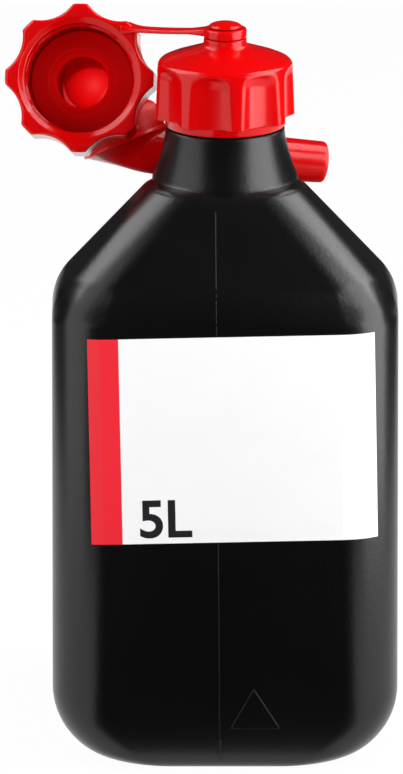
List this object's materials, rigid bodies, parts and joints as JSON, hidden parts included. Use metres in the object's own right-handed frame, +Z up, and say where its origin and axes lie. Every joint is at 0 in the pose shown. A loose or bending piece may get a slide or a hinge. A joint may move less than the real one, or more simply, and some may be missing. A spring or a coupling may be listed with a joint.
{
  "type": "fuel can",
  "caption": "Upright plastic fuel can with sloped shoulders, a carrying handle, a fluted screw cap and a swivelling pouring spout stowed through the handle on a strap.",
  "frame": {"origin": "middle of the flat base", "axes": "+Z up, +Y from the front face to the back, +X to the right of someone facing the front"},
  "size_m": [0.165, 0.1846, 0.3114],
  "materials": {
    "black_plastic": "satin, moulded",
    "label_film": "printed film, bare",
    "red_plastic": "glossy",
    "black_rubber": "matt",
    "rivet_plastic": "glossy",
    "red_nut_plastic": "glossy",
    "elbow_plastic": "glossy",
    "o_ring_rubber": "matt",
    "spout_plastic": "glossy"
  },
  "bodies": {
    "can": {"can_body": "black_plastic", "label": "label_film"},
    "tether": {"spout_nut": "red_nut_plastic"},
    "cap": {"main_cap": "red_plastic", "cap_seal": "black_rubber", "strap_rivet": "rivet_plastic"},
    "elbow": {"spout_elbow": "elbow_plastic", "elbow_o_ring": "o_ring_rubber"},
    "spout": {"spout_tube": "spout_plastic"}
  },
  "joints": [
    {"name": "cap_lift", "type": "slide", "parent": "can", "child": "tether", "axis": [0, 0, 1], "range_m": [0, 0.0075]},
    {"name": "cap_turn", "type": "hinge", "parent": "tether", "child": "cap", "pos_m": [0, -0.035, 0.289], "axis": [0, 0, 1], "range_deg": [0, 541]},
    {"name": "elbow_turn", "type": "hinge", "parent": "tether", "child": "elbow", "pos_m": [-0.0613, -0.021, 0.282], "axis": [-0.0499, -0.9524, 0.3007], "range_deg": [0, 4]},
    {"name": "spout_turn", "type": "hinge", "parent": "elbow", "child": "spout", "pos_m": [-0.04186, 0.02256, 0.24299], "axis": [0.3803, -0.2302, -0.8958], "range_deg": [-7, 7]}
  ],
  "couplings": [
    {"joint": "cap_turn", "follows": "cap_lift", "rad_per_m": 1256.6}
  ]
}
